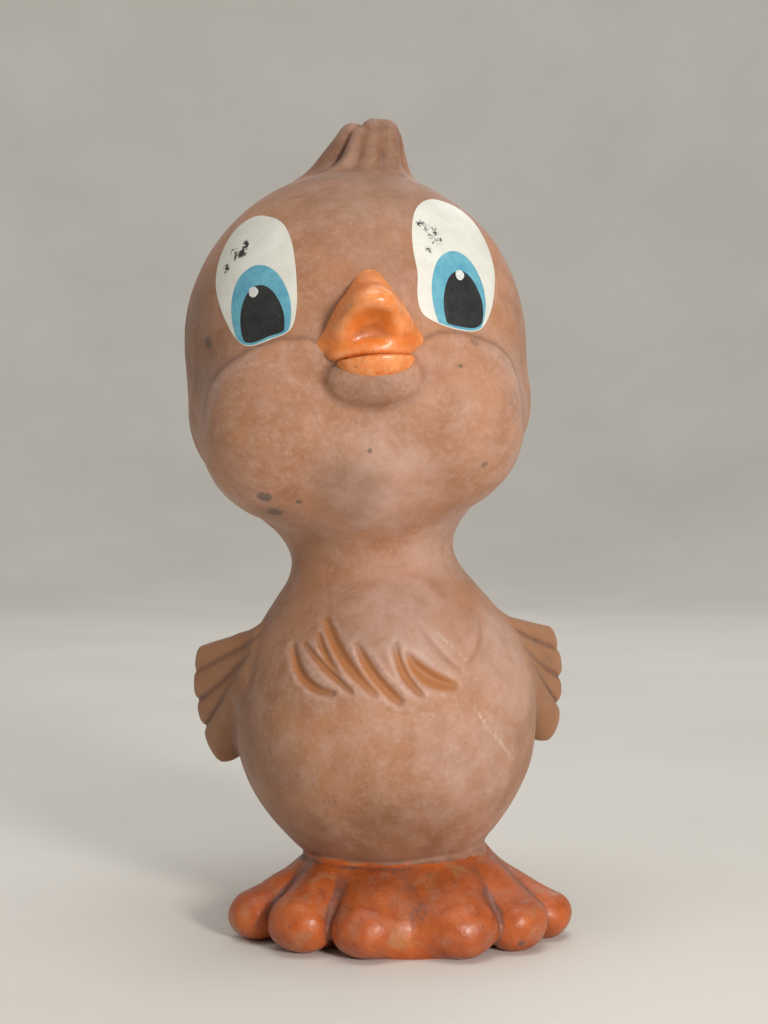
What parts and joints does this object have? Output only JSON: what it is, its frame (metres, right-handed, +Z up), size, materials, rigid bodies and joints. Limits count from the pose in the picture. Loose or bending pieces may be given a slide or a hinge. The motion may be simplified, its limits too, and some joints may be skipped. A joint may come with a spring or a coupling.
{
  "type": "squeeze toy",
  "caption": "Hollow moulded rubber squeeze toy: a standing chick with round head, cheeks, crest, fan wings and broad feet, painted eyes and beak, and a reed squeaker in the sole.",
  "frame": {"origin": "on the floor, under the middle of the whole toy", "axes": "+Z up, the chick faces -Y, +X towards the chick's own left"},
  "size_m": [0.0883, 0.0882, 0.1801],
  "materials": {
    "brown_rubber": "aged matt natural rubber with a pale bloom",
    "beak_paint": "semi-gloss orange paint on rubber, rubbed at the edges",
    "feet_paint": "semi-gloss orange paint on rubber, dirty in the grooves",
    "eye_white_paint": "thin brushed paint film, chipped",
    "iris_paint": "thin brushed paint film",
    "pupil_paint": "thin brushed paint film",
    "glint_paint": "dot of paint",
    "aluminium": "drawn sheet, dull",
    "brass": "plain"
  },
  "bodies": {
    "figure": {"front_shell": "brown_rubber", "back_shell": "brown_rubber", "crest": "brown_rubber", "left_wing": "brown_rubber", "right_wing": "brown_rubber", "upper_beak": "beak_paint", "lower_beak": "beak_paint", "feet": "feet_paint", "left_eye_white": "eye_white_paint", "left_iris": "iris_paint", "left_pupil": "pupil_paint", "left_glint": "glint_paint", "right_eye_white": "eye_white_paint", "right_iris": "iris_paint", "right_pupil": "pupil_paint", "right_glint": "glint_paint", "squeaker_cup": "aluminium", "squeaker_cover": "aluminium", "reed_holder": "brass", "reed_wedge": "brass"},
    "belly": {"belly_panel": "brown_rubber"},
    "reed": {"reed": "brass"}
  },
  "joints": [
    {"name": "belly_squeeze", "type": "slide", "parent": "figure", "child": "belly", "axis": [0, 1, 0], "range_m": [0, 0.012], "stiffness_N_per_m": 800},
    {"name": "reed_flex", "type": "hinge", "parent": "figure", "child": "reed", "pos_m": [0.003, 0.00445, 0.0039], "axis": [1, 0, 0], "range_deg": [-4, 4], "stiffness_Nm_per_rad": 0.0005}
  ]
}
